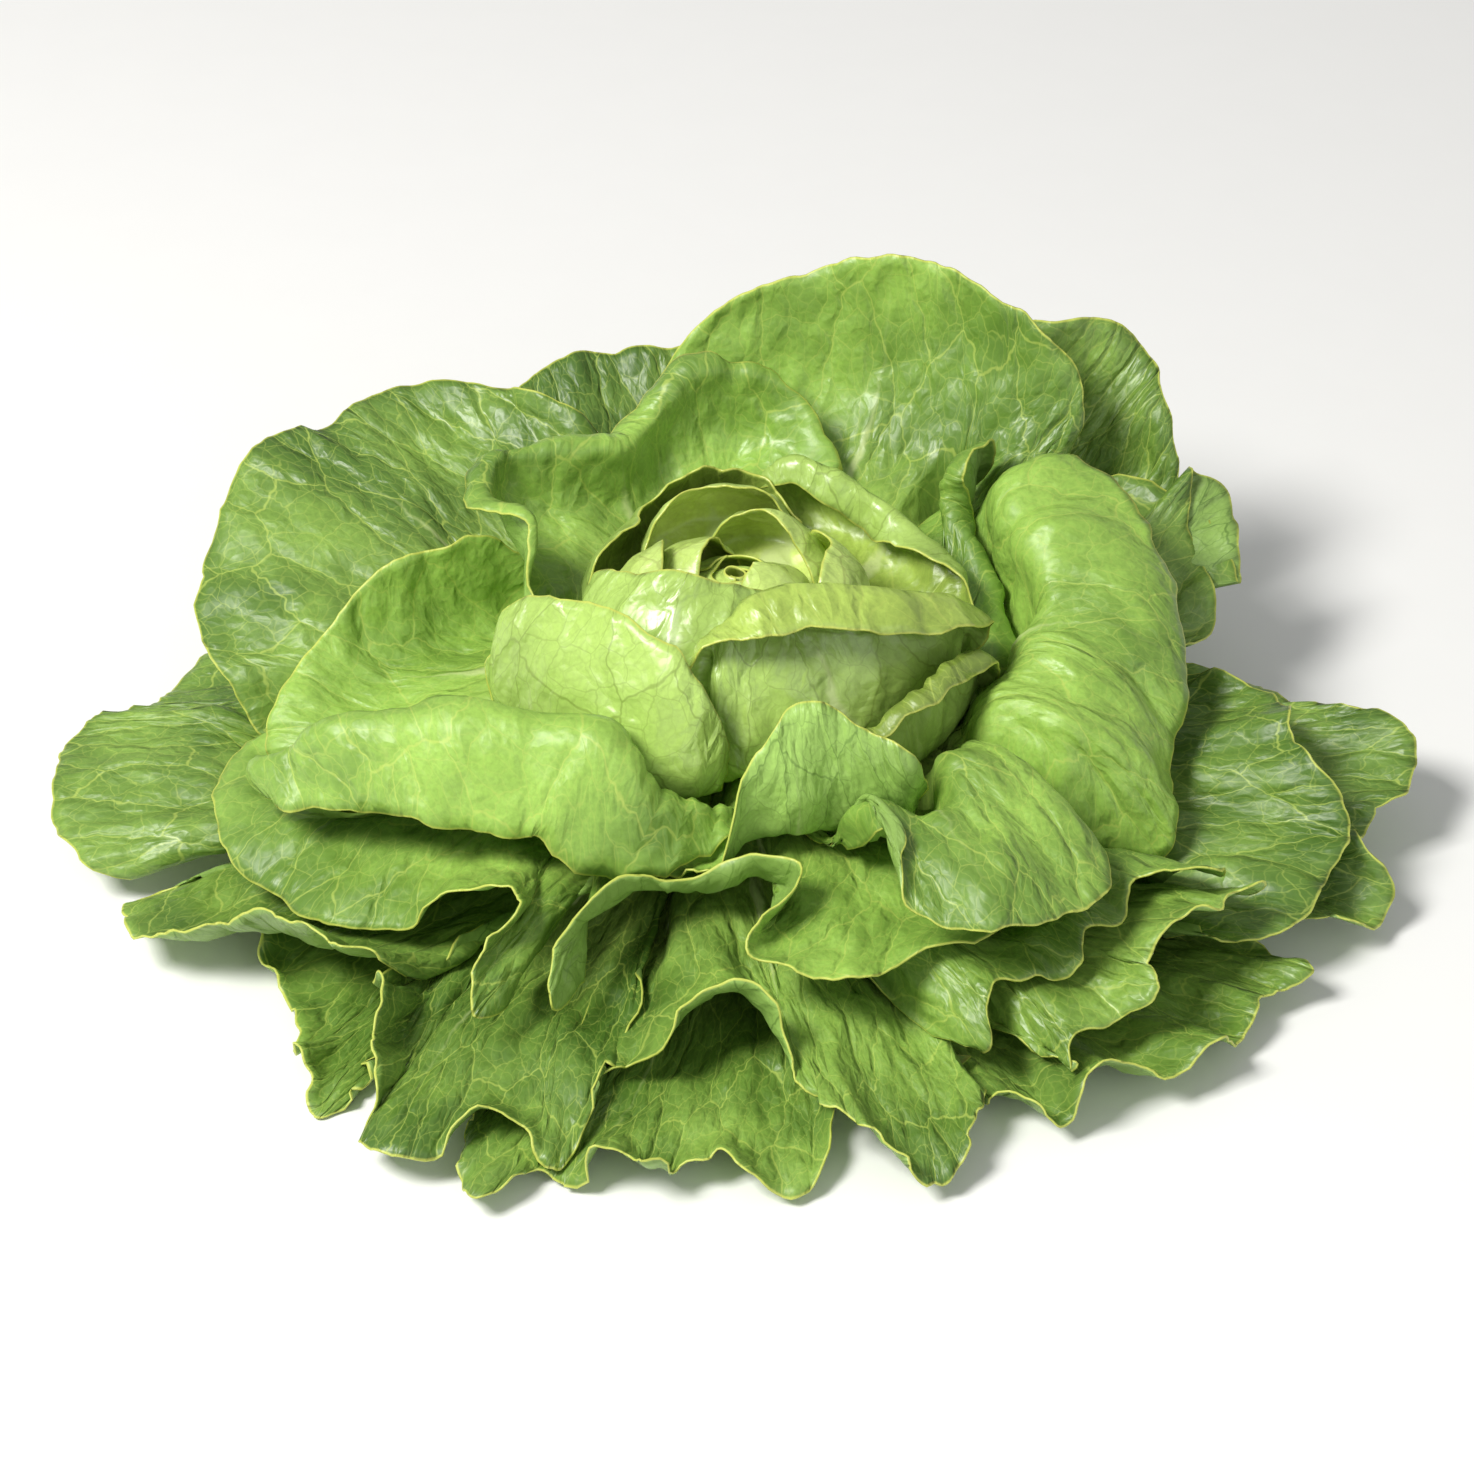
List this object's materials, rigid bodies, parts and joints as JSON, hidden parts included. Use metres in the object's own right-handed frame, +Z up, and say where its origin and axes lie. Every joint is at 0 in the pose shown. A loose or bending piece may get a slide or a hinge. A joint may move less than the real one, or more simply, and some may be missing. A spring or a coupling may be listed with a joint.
{
  "type": "butterhead lettuce",
  "caption": "Open butterhead lettuce head: a loose rounded heart in cupped wrapper leaves, with wide wavy outer leaves spread round a short cut stem.",
  "frame": {"origin": "centre of the cut face under the stem", "axes": "+Z up through the heart; -Y towards the side that the lettuce is usually seen from, +X to its right"},
  "size_m": [0.2989, 0.2628, 0.0941],
  "materials": {
    "stem_flesh": "pale moist plant flesh, not plastic",
    "heart_leaf": "light yellow-green leaf, softly glossy, not plastic",
    "wrapper_leaf": "light green leaf, softly glossy, not plastic",
    "middle_leaf": "mid-green leaf, satin, not plastic",
    "outer_leaf": "deep green leaf, satin, not plastic"
  },
  "bodies": {
    "root": {"stem": "stem_flesh", "heart": "heart_leaf", "wrapper_leaf_01": "wrapper_leaf", "wrapper_leaf_02": "wrapper_leaf", "wrapper_leaf_03": "wrapper_leaf", "wrapper_leaf_04": "wrapper_leaf", "wrapper_leaf_05": "wrapper_leaf", "wrapper_leaf_06": "wrapper_leaf", "middle_leaf_01": "middle_leaf", "middle_leaf_02": "middle_leaf", "middle_leaf_03": "middle_leaf", "middle_leaf_04": "middle_leaf", "middle_leaf_05": "middle_leaf", "middle_leaf_06": "middle_leaf", "middle_leaf_07": "middle_leaf", "middle_leaf_08": "middle_leaf", "middle_leaf_09": "middle_leaf", "middle_leaf_10": "middle_leaf", "outer_leaf_01": "outer_leaf", "outer_leaf_02": "outer_leaf", "outer_leaf_03": "outer_leaf", "outer_leaf_04": "outer_leaf", "outer_leaf_05": "outer_leaf", "outer_leaf_17": "outer_leaf", "outer_leaf_06": "outer_leaf", "outer_leaf_07": "outer_leaf", "outer_leaf_08": "outer_leaf", "outer_leaf_09": "outer_leaf", "outer_leaf_10": "outer_leaf", "outer_leaf_11": "outer_leaf", "outer_leaf_12": "outer_leaf", "outer_leaf_13": "outer_leaf", "outer_leaf_14": "outer_leaf", "outer_leaf_15": "outer_leaf", "outer_leaf_16": "outer_leaf"}
  },
  "joints": []
}
